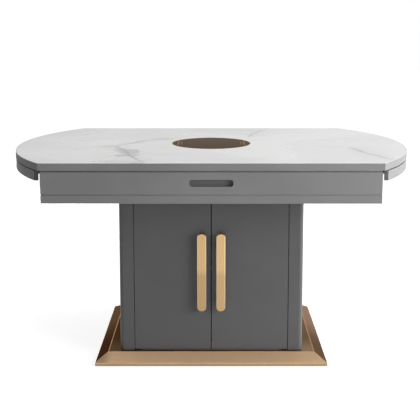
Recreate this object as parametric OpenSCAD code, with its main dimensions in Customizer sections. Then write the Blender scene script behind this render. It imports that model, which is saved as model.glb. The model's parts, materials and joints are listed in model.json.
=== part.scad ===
// Extending dining table: an oblong stone top with round ends, on a cabinet.
// A hob is let into the middle, a drawer runs in the apron, and a leaf slides out at each end.
// X runs along the table, the front faces -Y, Z is up, and the floor is at Z = 0.

/* [Table top] */
// Diameter of the circle that both round ends follow
top_d = 1416; // [1320:4:1500]
// Distance between the two straight sides
top_w = 892; // [840:4:940]
// Height of the top surface above the floor
top_h = 750; // [730:5:780]
// Thickness of the top at its edge
top_t = 24; // [20:1:32]
// Thickness of the stone slab let into the top
stone_t = 6; // [5:0.5:9]
// Width of the rim round the stone slab
rim_w = 2.5; // [2:0.5:6]

/* [Hob] */
// Radius of the hob glass
hob_r = 145; // [136:1:150]
// Width of the metal ring round the glass
hob_ring_w = 3.3; // [2:0.1:6]
// Thickness of the hob glass
hob_glass_t = 4; // [3:0.5:4]
// Width of the ledge that the glass rests on
hob_ledge_w = 8; // [6:0.5:9]
// Distance that the glass stands out past its case
hob_overhang = 14; // [12:0.5:20]
// Depth of the case below the stone's underside
hob_case_h = 62; // [58:1:70]
// Sheet thickness of the case
hob_case_t = 1.2; // [0.8:0.1:2]
// Radius of the cooling fan over its blades
fan_r = 38; // [28:1:42]
// Number of blades on the fan
fan_blades = 7; // [5:1:9]
// Radius of the fan's spindle
spindle_r = 2; // [1.5:0.25:3]

/* [Apron] */
// Distance from the top's straight side to the apron's face
apron_set = 3; // [2:0.5:12]
// Distance from the end of the top's straight side to the apron's end
apron_end_set = 6.1; // [5:0.1:20]
// Thickness of the apron's boards
apron_t = 18; // [16:1:20]
// Shadow gap between the top and the apron
apron_gap = 5; // [3:0.5:8]
// Height of the drawer front
front_h = 73; // [66:1:78]
// Height of the groove below the drawer front
groove_h = 2; // [2:0.5:6]
// Height of the rail below the groove
rail_h = 27; // [22:1:36]
// Thickness of the floor board inside the apron
floor_t = 15; // [12:1:18]
// Height of the steel frame under the top
frame_h = 34; // [30:1:38]
// Width of the frame's bars
frame_w = 18; // [14:1:22]

/* [Drawer] */
// Distance that the drawer pulls out
drawer_travel = 220; // [150:5:230]
// Thickness of the drawer's walls
drawer_wall = 12; // [10:1:15]
// Thickness of the drawer's bottom
drawer_bottom_t = 6; // [4:0.5:8]
// Width of the finger slot
slot_w = 140; // [90:5:200]
// Height of the finger slot
slot_h = 22; // [18:1:28]
// Depth of the finger slot
slot_depth = 13; // [10:0.5:14]
// Corner radius of the finger slot
slot_r = 8; // [3:0.5:8.5]
// Distance from the top of the drawer front to the middle of the slot
slot_drop = 36; // [24:1:48]

/* [Leaves] */
// Distance that each leaf pulls out
leaf_travel = 300; // [200:10:320]
// Thickness of a leaf
leaf_t = 18; // [16:1:20]
// Gap between a leaf and the top above it
leaf_gap = 2; // [1.5:0.25:4]
// Thickness of the stone let into a leaf
leaf_stone_t = 4; // [3:0.5:8]
// Width of the rim round a leaf's stone
leaf_rim = 6; // [4:0.5:12]
// Thickness of the curved edge strip
strip_t = 11.5; // [9:0.5:16]
// Height of the curved edge strip
strip_h = 34; // [28:1:38]
// Distance from the top's round edge to the strip's face
strip_set = 1; // [0.5:0.5:6]
// Distance from the top's straight side to the strip's end
strip_end_set = 21; // [14:1:40]

/* [Slides] */
// Width of a slide across its three members
slide_w = 12.6; // [11.6:0.2:14]
// Height of a slide
slide_h = 27; // [25:1:27]
// Steel thickness of each member
slide_steel = 1.4; // [1:0.1:1.6]
// Running clearance between the members
slide_play = 0.6; // [0.4:0.05:0.8]

/* [Cabinet] */
// Width of the cabinet
cab_w = 646; // [560:2:720]
// Depth of the cabinet
cab_d = 448; // [400:4:500]
// Width of a corner post
post_w = 51; // [40:1:64]
// Depth of a corner post
post_d = 40; // [34:1:60]
// Radius of a post's outer corner
post_r = 15; // [6:1:24]
// Thickness of the panels and boards
board_t = 18; // [16:1:22]
// Height of the shelf's underside above the plinth
shelf_h = 280; // [200:10:380]
// Radius of the pins under the shelf
shelf_pin_r = 2.5; // [2:0.5:4]

/* [Doors] */
// Thickness of a door
door_t = 18; // [16:1:22]
// Gap between a door and its post
door_gap = 2.1; // [2.1:0.1:4]
// Gap between the two doors
door_mid_gap = 3; // [2:0.5:6]
// Gap below and above a door
door_end_gap = 4; // [3.5:0.5:8]
// Distance from a door's outer edge to its pivot
pivot_in = 10; // [9:0.5:14]
// Distance from a door's face to its pivot
pivot_back = 5; // [4.5:0.5:6]
// Radius of the pivot pins
pivot_r = 2.5; // [2:0.25:3.5]
// Radial play of a pin in its bore
pin_play = 0.05; // [0.03:0.01:0.08]
// Length of a handle
handle_len = 282; // [200:2:400]
// Width of a handle
handle_w = 32; // [20:1:44]
// Thickness of a handle
handle_t = 8; // [5:0.5:12]
// Width of the bevel round a handle's face
handle_bevel = 3; // [1:0.5:4]
// Space between a handle and its door
handle_stand = 20; // [18:1:34]
// Distance from a door's meeting edge to its handle's middle
handle_in = 31.8; // [26:0.2:60]
// Height of a handle's middle above the floor
handle_z = 330; // [280:5:420]

/* [Plinth] */
// Height of the plinth
plinth_h = 39; // [38:1:60]
// Height of the upright rim round the plinth
rim_h = 14; // [8:1:20]
// Gap between the rim and the floor
plinth_lift = 2; // [1:0.5:5]
// Distance that the sloping sides run outwards
plinth_run = 42; // [25:1:60]
// Width of the flat ledge beside the cabinet
ledge_side = 41; // [20:1:60]
// Width of the flat ledge before and behind the cabinet
ledge_front = 12; // [3:1:20]
// Thickness of the plinth's metal
plinth_metal = 2; // [1:0.25:3]
// Radius of a levelling foot
foot_r = 18; // [14:1:22]
// Height of a levelling foot's pad
foot_h = 6; // [5:0.5:9]

/* [Hidden] */
$fn = 96;

// Overrun of a cut past the face that it opens
cut = 1;
// Joint line between pieces that are let into each other
fit = 0.15;
// Clear space between close pieces that don't touch
near = 0.3;
// Overlap of shapes that make up one solid
bite = 0.5;

// Heights, from the top down
panel_z = top_h - top_t;
stone_z = top_h - stone_t;
front_z1 = panel_z - apron_gap;
front_z0 = front_z1 - front_h;
rail_z1 = front_z0 - groove_h;
rail_z0 = rail_z1 - rail_h;
frame_z0 = panel_z - frame_h;

// Places in plan, as half sizes
top_r = top_d / 2;
side_y = top_w / 2;
straight_x = sqrt(top_r * top_r - side_y * side_y);
apron_y1 = side_y - apron_set;
apron_y0 = apron_y1 - apron_t;
apron_x1 = straight_x - apron_end_set;
apron_x0 = apron_x1 - apron_t;

// Hob
hob_hole_r = hob_r + hob_ring_w;
hob_case_r = hob_r - hob_overhang;
hob_case_z = stone_z - hob_case_h;
hob_ledge_t = stone_t - hob_glass_t;
hob_floor_z = hob_case_z + hob_case_t;
hob_case_gap = 2;
coil_h = 6;
coil_turns = 9;
coil_r0 = 22;
coil_r1 = 98;
coil_gap = 2;
tray_t = 3;
tray_rim = 14;
tray_r = coil_r1 + tray_rim;
tray_z = top_h - hob_glass_t - coil_gap - coil_h - tray_t;
tray_leg_r = 4;
tray_leg_in = 5;
tray_legs_at = tray_r - tray_leg_in;
fan_y = 30;
fan_h = 14;
fan_hub_r = 12;
board_size = [110, 48, 1.6];
board_y = -64;
board_lift = 7;

// Frame under the top, partitions and leaves
frame_gap = 4;
frame_y1 = apron_y0 - frame_gap;
frame_y0 = frame_y1 - frame_w;
frame_end_set = 6;
frame_x1 = apron_x1 - frame_end_set;
tie_gap = 4;
tie_x0 = hob_case_r + tie_gap;
tie_x1 = tie_x0 + frame_w;
partition_over = 10;
partition_y0 = -hob_case_r - partition_over;
leaf_back_gap = 3;
leaf_x0 = tie_x1 + leaf_back_gap;
leaf_y = frame_y0 - slide_w;
leaf_z1 = panel_z - leaf_gap;
leaf_z0 = leaf_z1 - leaf_t;
strip_r1 = top_r - strip_set;
strip_r0 = strip_r1 - strip_t;
strip_seam = 1.5;
slide_end_gap = 4;
slide_top_gap = 0.5;
leaf_slide_x0 = leaf_x0 + slide_end_gap;
leaf_slide_x1 = apron_x0 - slide_end_gap;
leaf_slide_z = panel_z - slide_top_gap - slide_h / 2;

// Drawer
drawer_back_gap = 35;
drawer_lift = 4;
drawer_top_gap = 2;
drawer_y0 = -apron_y0;
drawer_y1 = -hob_case_r - drawer_back_gap;
drawer_z0 = rail_z1 + drawer_lift;
drawer_z1 = frame_z0 - drawer_top_gap;
drawer_x = apron_x0 - slide_w;
drawer_groove = 2;
drawer_slide_z = (drawer_z0 + drawer_z1) / 2;
drawer_slide_y0 = drawer_y0 + slide_end_gap;
drawer_slide_y1 = drawer_y1 - slide_end_gap;

// Cabinet and doors
cab_x = cab_w / 2;
cab_y = cab_d / 2;
bay_x = cab_x - post_w;
door_x0 = door_mid_gap / 2;
door_x1 = bay_x - door_gap;
door_z0 = plinth_h + door_end_gap;
door_z1 = rail_z0 - door_end_gap;
pivot_x = door_x1 - pivot_in;
pivot_y = -cab_y + pivot_back;

// A door's rear hinge corner turns on this radius, so the carcass starts behind its swing
corner_r = sqrt(pow(pivot_in, 2) + pow(door_t - pivot_back, 2));
carcass_y = -pivot_y - corner_r - near;
pivot_plate_t = 2;
pivot_plate_set = 1;
pivot_plate_w = 23;
pivot_washer_r = 4.5;
pivot_bore = 14;
shelf_z = plinth_h + shelf_h;
shelf_pin_len = 18;
shelf_pin_set = 32;
shelf_pin_y = cab_y - post_d - shelf_pin_set;
shelf_pin_z = shelf_z - shelf_pin_r;
shelf_pin_in = 9;
handle_x = door_x0 + handle_in;
handle_post_r = 6;
handle_post_in = 44;
handle_post_z = handle_len / 2 - handle_post_in;

// The gland goes through the floor board between the cabinet and the apron's end
gland_in = 90;
gland_x = (cab_x + apron_x0) / 2;
gland_y = apron_y0 - gland_in;
gland_r = 10;

// Plinth
plinth_x0 = cab_x + ledge_side;
plinth_y0 = cab_y + ledge_front;
core_in = 8;
core_wall = 60;
foot_in = 30;
foot_stem_r = 5;
foot_stem_len = 20;

metal_grey = "#86868a";
edge_grey = "#77787c";
gold = "#c9a06a";
steel = "#b9bcc0";
dark_steel = "#3f4043";
marble = "#e2dfda";
black = "#241c18";
board = "#8d8a86";

// Mirrored pairs
module both_x() {
    children();
    mirror([1, 0, 0]) children();
}

module both_y() {
    children();
    mirror([0, 1, 0]) children();
}

// A box between two corners
module block(low, high) {
    translate(low) cube(high - low);
}

// A circle cut by two straight sides, in plan
module oblong(r, half_w) {
    intersection() {
        circle(r = r);
        square([3 * r, 2 * half_w], center = true);
    }
}

// A rectangle with round corners, in the plane
module round_rect(w, h, r) {
    square([w, h - 2 * r], center = true);
    square([w - 2 * r, h], center = true);
    for (x = [-1, 1], y = [-1, 1])
        translate([x * (w / 2 - r), y * (h / 2 - r)]) circle(r = r, $fn = 48);
}

// Table top

module top_panel() {
    color(edge_grey) difference() {
        translate([0, 0, panel_z]) linear_extrude(top_t) oblong(top_r, side_y);
        translate([0, 0, stone_z]) linear_extrude(stone_t + cut)
            oblong(top_r - rim_w, side_y - rim_w);
        translate([0, 0, panel_z - cut])
            cylinder(r = hob_case_r + hob_case_gap, h = top_t);
    }
}

module stone_top() {
    color(marble) translate([0, 0, stone_z]) linear_extrude(stone_t) difference() {
        oblong(top_r - rim_w - fit, side_y - rim_w - fit);
        circle(r = hob_hole_r + fit);
    }
}

// Hob

module hob_trim_ring() {
    ledge_r = hob_r - hob_ledge_w;
    wall_r = hob_r + fit;
    color(gold) translate([0, 0, stone_z]) rotate_extrude() polygon([
        [ledge_r, 0], [hob_hole_r, 0], [hob_hole_r, stone_t],
        [wall_r, stone_t], [wall_r, hob_ledge_t], [ledge_r, hob_ledge_t]]);
}

module hob_glass() {
    color(black) translate([0, 0, top_h - hob_glass_t]) cylinder(r = hob_r, h = hob_glass_t);
}

module hob_case() {
    flange_r = hob_r - hob_ledge_w - near;
    vents = 24;
    vent_w = 5;
    vent_r0 = 60;
    vent_r1 = 100;
    wall_vent_h = 14;
    spindle_over = 4;
    color(steel) difference() {
        union() {
            translate([0, 0, hob_case_z]) rotate_extrude() polygon([
                [0, 0], [hob_case_r, 0], [hob_case_r, hob_case_h], [flange_r, hob_case_h],
                [flange_r, hob_case_h + hob_ledge_t],
                [hob_case_r - hob_case_t, hob_case_h + hob_ledge_t],
                [hob_case_r - hob_case_t, hob_case_t], [0, hob_case_t]]);
            translate([0, fan_y, hob_floor_z - bite])
                cylinder(r = spindle_r, h = fan_h + spindle_over + bite);
        }
        for (i = [0:vents - 1]) rotate(i * 360 / vents)
            block([vent_r0, -vent_w / 2, hob_case_z - cut],
                  [vent_r1, vent_w / 2, hob_floor_z + cut]);
        for (i = [0:vents - 1]) rotate((i + 0.5) * 360 / vents)
            block([hob_case_r - 3 * hob_case_t, -vent_w / 2, hob_case_z + vent_w],
                  [hob_case_r + cut, vent_w / 2, hob_case_z + vent_w + wall_vent_h]);
    }
}

// The tray's three legs stand on the plain ring of the case's floor outside the vents
module coil_tray() {
    color(steel) union() {
        translate([0, 0, tray_z]) cylinder(r = tray_r, h = tray_t);
        for (a = [90, 210, 330]) rotate(a) translate([tray_legs_at, 0, hob_floor_z])
            cylinder(r = tray_leg_r, h = tray_z - hob_floor_z + tray_t / 2, $fn = 32);
    }
}

module induction_coil() {
    pitch = (coil_r1 - coil_r0) / coil_turns;
    groove = 1.2;
    base = 1;
    color("#a5632f") translate([0, 0, tray_z + tray_t]) rotate_extrude() union() {
        translate([coil_r0, 0]) square([coil_r1 - coil_r0 - groove, base]);
        for (i = [0:coil_turns - 1])
            translate([coil_r0 + i * pitch, 0]) square([pitch - groove, coil_h]);
    }
}

module hob_board() {
    x = board_size[0] / 2;
    y = board_size[1] / 2;
    top = board_lift + board_size[2];
    post_r = 3;
    post_in = 6;
    can_r = 7;
    can_h = 22;
    cans = [30, 48];
    sink = [42, 22, 3];
    sink_x = 4;
    sink_y = 4;
    fins = 7;
    fin_t = 2;
    fin_h = 15;
    chip = [20, 10, 4];
    chip_at = [14, -18];
    color("#2f6b45") translate([0, board_y, hob_floor_z]) union() {
        block([-x, -y, board_lift], [x, y, top]);
        for (sx = [-1, 1], sy = [-1, 1])
            translate([sx * (x - post_in), sy * (y - post_in), 0])
                cylinder(r = post_r, h = board_lift + bite, $fn = 32);
        for (cx = cans) translate([cx, 2 * sink_y, top - bite])
            cylinder(r = can_r, h = can_h, $fn = 32);
        translate([-sink_x - sink[0], -sink_y, top - bite]) union() {
            cube([sink[0], sink[1], sink[2] + bite]);
            for (i = [0:fins - 1]) translate([i * (sink[0] - fin_t) / (fins - 1), 0, bite])
                cube([fin_t, sink[1], sink[2] + fin_h]);
        }
        translate([chip_at[0], chip_at[1], top - bite]) cube([chip[0], chip[1], chip[2] + bite]);
    }
}

module fan_rotor() {
    blade_t = 1.4;
    blade_pitch = 36;
    root = fan_hub_r - 2;
    color("#3a3a3c") translate([0, fan_y, hob_floor_z + near]) difference() {
        union() {
            cylinder(r = fan_hub_r, h = fan_h);
            for (i = [0:fan_blades - 1]) rotate(i * 360 / fan_blades)
                translate([(root + fan_r) / 2, 0, fan_h / 2]) rotate([blade_pitch, 0, 0])
                    cube([fan_r - root, blade_t, fan_h], center = true);
        }
        translate([0, 0, -cut]) cylinder(r = spindle_r + pin_play, h = fan_h + 2 * cut);
    }
}

// Spring clamps that hold the case against the underside of the top
module hob_clamps() {
    clamp_w = 14;
    clamp_t = 1.8;
    reach = 14;
    drop = 26;
    screw_r = 3;
    screw_in = 4;
    color(steel) for (a = [60, 120, 240, 300]) rotate(a) translate([hob_case_r, 0, panel_z])
        union() {
            block([0, -clamp_w / 2, -drop], [clamp_t, clamp_w / 2, 0]);
            block([0, -clamp_w / 2, -clamp_t], [reach, clamp_w / 2, 0]);
            translate([reach - screw_in, 0, -clamp_t - screw_r])
                cylinder(r = screw_r, h = screw_r + bite, $fn = 32);
        }
}

// Apron and the frame under the top

module cord_gland() {
    cable_r = 4;
    nut_r = 14;
    nut_h = 5;
    dome_h = 12;
    dome_taper = 3;
    color("#2b2b2d") translate([gland_x, gland_y, rail_z0]) difference() {
        union() {
            translate([0, 0, -dome_h - nut_h])
                cylinder(r1 = gland_r - dome_taper, r2 = gland_r, h = dome_h);
            translate([0, 0, -nut_h]) cylinder(r = nut_r, h = nut_h, $fn = 6);
            cylinder(r = gland_r, h = floor_t + nut_h);
            translate([0, 0, floor_t]) cylinder(r = nut_r, h = nut_h - 1, $fn = 6);
        }
        translate([0, 0, -dome_h - nut_h - cut])
            cylinder(r = cable_r, h = dome_h + 2 * nut_h + floor_t + 2 * cut);
    }
}

module frame_bars() {
    color(dark_steel) both_y()
        block([-frame_x1, frame_y0, frame_z0], [frame_x1, frame_y1, panel_z]);
}

module frame_ties() {
    color(dark_steel) both_x()
        block([tie_x0, -frame_y0, frame_z0], [tie_x1, frame_y0, panel_z]);
}

module apron_back() {
    groove_d = 3;
    color(metal_grey) difference() {
        block([-apron_x1, apron_y0, rail_z0], [apron_x1, apron_y1, front_z1]);
        block([-apron_x1 - cut, apron_y1 - groove_d, rail_z1],
              [apron_x1 + cut, apron_y1 + cut, front_z0]);
    }
}

module apron_rail() {
    color(metal_grey) block([-apron_x1, -apron_y1, rail_z0], [apron_x1, -apron_y0, rail_z1]);
}

module apron_end() {
    block([apron_x0, -apron_y0, rail_z0], [apron_x1, apron_y0, frame_z0]);
}

module apron_end_left() {
    color(metal_grey) mirror([1, 0, 0]) apron_end();
}

module apron_end_right() {
    color(metal_grey) apron_end();
}

module apron_floor() {
    color(board) difference() {
        block([-apron_x0, -apron_y0, rail_z0], [apron_x0, apron_y0, rail_z0 + floor_t]);
        translate([gland_x, gland_y, rail_z0 - cut])
            cylinder(r = gland_r + pin_play, h = floor_t + 2 * cut);
    }
}

module partitions() {
    color(board) both_x()
        block([tie_x0, partition_y0, rail_z0 + floor_t], [tie_x1, apron_y0, frame_z0]);
}

// Cabinet

// A post's plan, with its outer corner rounded
module post_plan() {
    difference() {
        translate([bay_x, cab_y - post_d]) square([post_w, post_d]);
        translate([cab_x - post_r, cab_y - post_r]) square([post_r + cut, post_r + cut]);
    }
    intersection() {
        translate([cab_x - post_r, cab_y - post_r]) circle(r = post_r);
        translate([cab_x - post_r, cab_y - post_r]) square([post_r, post_r]);
    }
}

module corner_posts() {
    color(metal_grey) both_x() both_y() translate([0, 0, plinth_h])
        linear_extrude(rail_z0 - plinth_h) post_plan();
}

module side_panel() {
    y = cab_y - post_d;
    difference() {
        block([cab_x - board_t, -y, plinth_h], [cab_x, y, rail_z0]);
        for (sy = [-1, 1]) translate([cab_x - board_t - cut, sy * shelf_pin_y, shelf_pin_z])
            rotate([0, 90, 0]) cylinder(r = shelf_pin_r + pin_play, h = shelf_pin_in + cut);
    }
}

module side_panel_left() {
    color(metal_grey) mirror([1, 0, 0]) side_panel();
}

module side_panel_right() {
    color(metal_grey) side_panel();
}

module back_panel() {
    color(metal_grey) block([-bay_x, cab_y - board_t, plinth_h], [bay_x, cab_y, rail_z0]);
}

// Plan of a board that fits between the side panels, with its corners notched round the posts
module notched_board(front_y) {
    y = cab_y - post_d;
    translate([-bay_x, front_y]) square([2 * bay_x, cab_y - board_t - front_y]);
    translate([-cab_x + board_t, -y]) square([2 * (cab_x - board_t), 2 * y]);
}

module cabinet_top() {
    color(board) translate([0, 0, rail_z0 - board_t]) linear_extrude(board_t)
        notched_board(-carcass_y);
}

module cabinet_bottom() {
    color(board) translate([0, 0, plinth_h]) linear_extrude(board_t)
        notched_board(-carcass_y);
}

module shelf() {
    shelf_set = 12;
    color(board) translate([0, 0, shelf_z]) linear_extrude(board_t)
        notched_board(-carcass_y + shelf_set);
}

module shelf_pins() {
    color(steel) both_x() both_y()
        translate([cab_x - board_t + shelf_pin_in - shelf_pin_len, shelf_pin_y, shelf_pin_z])
            rotate([0, 90, 0]) cylinder(r = shelf_pin_r, h = shelf_pin_len, $fn = 48);
}

// Doors

module door() {
    difference() {
        block([door_x0, -cab_y, door_z0], [door_x1, -cab_y + door_t, door_z1]);
        for (z = [door_z0 - cut, door_z1 - pivot_bore]) translate([pivot_x, pivot_y, z])
            cylinder(r = pivot_r + pin_play, h = pivot_bore + cut);
    }
}

module door_left() {
    color(metal_grey) mirror([1, 0, 0]) door();
}

module door_right() {
    color(metal_grey) door();
}

// Half of a handle's section: x from its middle line, y from its back to its bevelled face
module handle_section() {
    half = handle_w / 2;
    polygon([[0, 0], [half, 0], [half, handle_t - handle_bevel],
        [half - handle_bevel, handle_t], [0, handle_t]]);
}

// A flat bar with half-round ends, on two round posts
module handle() {
    straight = handle_len - handle_w;
    translate([handle_x, -cab_y, handle_z]) rotate([90, 0, 0]) union() {
        translate([0, straight / 2, handle_stand]) rotate([90, 0, 0]) linear_extrude(straight)
            both_x() handle_section();
        for (s = [-1, 1]) translate([0, s * straight / 2, handle_stand])
            rotate_extrude() handle_section();
        for (s = [-1, 1]) translate([0, s * handle_post_z, 0])
            cylinder(r = handle_post_r, h = handle_stand + bite);
    }
}

module handle_left() {
    color(gold) mirror([1, 0, 0]) handle();
}

module handle_right() {
    color(gold) handle();
}

// One pivot: a plate on the carcass, a washer and a pin that points into the door
module door_pivot(seat_gap) {
    washer_t = seat_gap - pivot_plate_t - near;
    plate_x = bay_x - fit;
    block([plate_x - pivot_plate_w, -cab_y + pivot_plate_set, 0],
          [plate_x, -carcass_y - near, pivot_plate_t]);
    translate([pivot_x, pivot_y, pivot_plate_t - bite]) union() {
        cylinder(r = pivot_washer_r, h = washer_t + bite, $fn = 48);
        cylinder(r = pivot_r, h = seat_gap - pivot_plate_t + pivot_bore - cut);
    }
}

module door_pivots() {
    color(steel) both_x() {
        translate([0, 0, plinth_h]) door_pivot(door_end_gap);
        translate([0, 0, rail_z0]) mirror([0, 0, 1]) door_pivot(door_end_gap);
    }
}

module door_catches() {
    catch_w = 26;
    catch_h = 12;
    catch_d = 14;
    color("#2f3033") both_x() translate([handle_x - catch_w / 2, 0, rail_z0 - board_t])
        block([0, -cab_y + door_t + near, -catch_h], [catch_w, -carcass_y + catch_d, 0]);
}

// Plinth

// Section of one side of the cladding: x outwards, y up, x = 0 at the plinth's top edge
module plinth_section() {
    slope = (plinth_h - rim_h) / plinth_run;
    inner_u = plinth_run - plinth_metal;
    polygon([
        [plinth_run, plinth_lift], [plinth_run, rim_h], [0, plinth_h],
        [0, plinth_h - plinth_metal], [inner_u, plinth_h - plinth_metal - slope * inner_u],
        [inner_u, plinth_lift]]);
}

// One side of the cladding, mitred at both ends: half is half the length of its top edge
module plinth_side(half, out) {
    intersection() {
        translate([-half - plinth_run, out, 0]) rotate([90, 0, 90])
            linear_extrude(2 * (half + plinth_run)) plinth_section();
        linear_extrude(plinth_h + cut) polygon([
            [-half, out], [half, out], [half + plinth_run, out + plinth_run],
            [-half - plinth_run, out + plinth_run]]);
    }
}

module plinth_front() {
    color(gold) mirror([0, 1, 0]) plinth_side(plinth_x0, plinth_y0);
}

module plinth_back() {
    color(gold) plinth_side(plinth_x0, plinth_y0);
}

module plinth_end_left() {
    color(gold) rotate(90) plinth_side(plinth_y0, plinth_x0);
}

module plinth_end_right() {
    color(gold) rotate(-90) plinth_side(plinth_y0, plinth_x0);
}

module plinth_deck() {
    color(gold) block([-plinth_x0, -plinth_y0, plinth_h - plinth_metal],
                      [plinth_x0, plinth_y0, plinth_h]);
}

// Centres of the levelling feet, three to each long side
module foot_places() {
    x = plinth_x0 - core_in - foot_in;
    y = plinth_y0 - core_in - foot_in;
    for (px = [-x, 0, x], py = [-y, y]) translate([px, py, 0]) children();
}

module plinth_core() {
    x = plinth_x0 - core_in;
    y = plinth_y0 - core_in;
    pocket_x = (x - 1.5 * core_wall) / 2;
    color("#9c8464") difference() {
        block([-x, -y, foot_h], [x, y, plinth_h - plinth_metal]);
        both_x() translate([core_wall / 2 + pocket_x, 0, 0])
            block([-pocket_x, core_wall - y, foot_h - cut], [pocket_x, y - core_wall, plinth_h]);
        foot_places() translate([0, 0, foot_h - cut])
            cylinder(r = foot_stem_r + pin_play, h = foot_stem_len + 2 * cut);
    }
}

module levelling_feet() {
    chamfer = 1.5;
    color("#2b2b2d") foot_places() rotate_extrude($fn = 48) polygon([
        [0, 0], [foot_r - chamfer, 0], [foot_r, chamfer], [foot_r, foot_h],
        [foot_stem_r, foot_h], [foot_stem_r, foot_h + foot_stem_len],
        [0, foot_h + foot_stem_len]]);
}

// Drawer

module drawer_front() {
    color(metal_grey) difference() {
        block([-apron_x1, -apron_y1, front_z0], [apron_x1, -apron_y0, front_z1]);
        translate([0, -apron_y1 + slot_depth, front_z1 - slot_drop]) rotate([90, 0, 0])
            linear_extrude(slot_depth + cut) round_rect(slot_w, slot_h, slot_r);
    }
}

// Four walls, grooved inside for the bottom
module drawer_box() {
    x = drawer_x - drawer_wall;
    y0 = drawer_y0 + drawer_wall;
    y1 = drawer_y1 - drawer_wall;
    groove_d = 5;
    groove_z = drawer_z0 + drawer_groove;
    color(board) difference() {
        block([-drawer_x, drawer_y0, drawer_z0], [drawer_x, drawer_y1, drawer_z1]);
        block([-x, y0, drawer_z0 - cut], [x, y1, drawer_z1 + cut]);
        block([-x - groove_d, y0 - groove_d, groove_z],
              [x + groove_d, y1 + groove_d, groove_z + drawer_bottom_t]);
    }
}

module drawer_bottom() {
    in_groove = 4.8;
    x = drawer_x - drawer_wall + in_groove;
    y0 = drawer_y0 + drawer_wall - in_groove;
    y1 = drawer_y1 - drawer_wall + in_groove;
    z = drawer_z0 + drawer_groove;
    color(board) block([-x, y0, z], [x, y1, z + drawer_bottom_t]);
}

// Slides

// Section of one slide member: x from the fixed face, y up. Level 0 is the fixed member,
// 1 the middle one and 2 the one on the moving piece
module slide_section(level) {
    step = slide_steel + slide_play;
    half = slide_h / 2 - level * step;
    lip0 = level * step;
    lip1 = level == 2 ? slide_w : slide_w - slide_steel - (2 - level) * slide_play;
    web = level == 2 ? slide_w - slide_steel : lip0;
    translate([web, -half]) square([slide_steel, 2 * half]);
    for (v = [-half, half - slide_steel])
        translate([lip0, v]) square([lip1 - lip0, slide_steel]);
}

module drawer_slide(level) {
    color(steel) both_x() translate([-apron_x0, drawer_slide_y1, drawer_slide_z])
        rotate([90, 0, 0]) linear_extrude(drawer_slide_y1 - drawer_slide_y0)
            slide_section(level);
}

module drawer_slide_outers() {
    drawer_slide(0);
}

module drawer_slide_middles() {
    drawer_slide(1);
}

module drawer_slide_inners() {
    drawer_slide(2);
}

// The slides of the right leaf, one on each long bar of the frame
module leaf_slide(level) {
    color(steel) both_y() translate([leaf_slide_x0, -frame_y0, leaf_slide_z])
        rotate([90, 0, 90]) linear_extrude(leaf_slide_x1 - leaf_slide_x0)
            slide_section(level);
}

module leaf_slide_outers() {
    both_x() leaf_slide(0);
}

module leaf_slide_middles_left() {
    mirror([1, 0, 0]) leaf_slide(1);
}

module leaf_slide_middles_right() {
    leaf_slide(1);
}

module leaf_slide_inners_left() {
    mirror([1, 0, 0]) leaf_slide(2);
}

module leaf_slide_inners_right() {
    leaf_slide(2);
}

// Leaves

// Plan of the right leaf, drawn in from its edges
module leaf_plan(inset) {
    intersection() {
        circle(r = strip_r0 - near - inset);
        translate([leaf_x0 + inset, -leaf_y + inset])
            square([top_r, 2 * (leaf_y - inset)]);
    }
}

module leaf_panel() {
    difference() {
        translate([0, 0, leaf_z0]) linear_extrude(leaf_t) leaf_plan(0);
        translate([0, 0, leaf_z1 - leaf_stone_t]) linear_extrude(leaf_stone_t + cut)
            leaf_plan(leaf_rim);
    }
}

module leaf_panel_left() {
    color(edge_grey) mirror([1, 0, 0]) leaf_panel();
}

module leaf_panel_right() {
    color(edge_grey) leaf_panel();
}

module leaf_stone() {
    translate([0, 0, leaf_z1 - leaf_stone_t]) linear_extrude(leaf_stone_t)
        leaf_plan(leaf_rim + fit);
}

module leaf_stone_left() {
    color(marble) mirror([1, 0, 0]) leaf_stone();
}

module leaf_stone_right() {
    color(marble) leaf_stone();
}

// The curved strip that closes a leaf's round edge and serves as its pull
module leaf_edge() {
    strip_y = side_y - strip_end_set;
    translate([0, 0, panel_z - strip_seam - strip_h]) linear_extrude(strip_h)
        intersection() {
            difference() {
                circle(r = strip_r1);
                circle(r = strip_r0);
            }
            translate([0, -strip_y]) square([top_r, 2 * strip_y]);
        }
}

module leaf_edge_left() {
    color(edge_grey) mirror([1, 0, 0]) leaf_edge();
}

module leaf_edge_right() {
    color(edge_grey) leaf_edge();
}

top_panel();
stone_top();
hob_trim_ring();
hob_glass();
hob_case();
coil_tray();
induction_coil();
hob_board();
fan_rotor();
hob_clamps();
cord_gland();
frame_bars();
frame_ties();
apron_back();
apron_rail();
apron_end_left();
apron_end_right();
apron_floor();
partitions();
corner_posts();
side_panel_left();
side_panel_right();
back_panel();
cabinet_top();
cabinet_bottom();
shelf();
shelf_pins();
door_left();
door_right();
handle_left();
handle_right();
door_pivots();
door_catches();
plinth_core();
plinth_deck();
plinth_front();
plinth_back();
plinth_end_left();
plinth_end_right();
levelling_feet();
drawer_front();
drawer_box();
drawer_bottom();
drawer_slide_outers();
drawer_slide_middles();
drawer_slide_inners();
leaf_slide_outers();
leaf_slide_middles_left();
leaf_slide_middles_right();
leaf_slide_inners_left();
leaf_slide_inners_right();
leaf_panel_left();
leaf_panel_right();
leaf_stone_left();
leaf_stone_right();
leaf_edge_left();
leaf_edge_right();
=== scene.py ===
import json
import math

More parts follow.
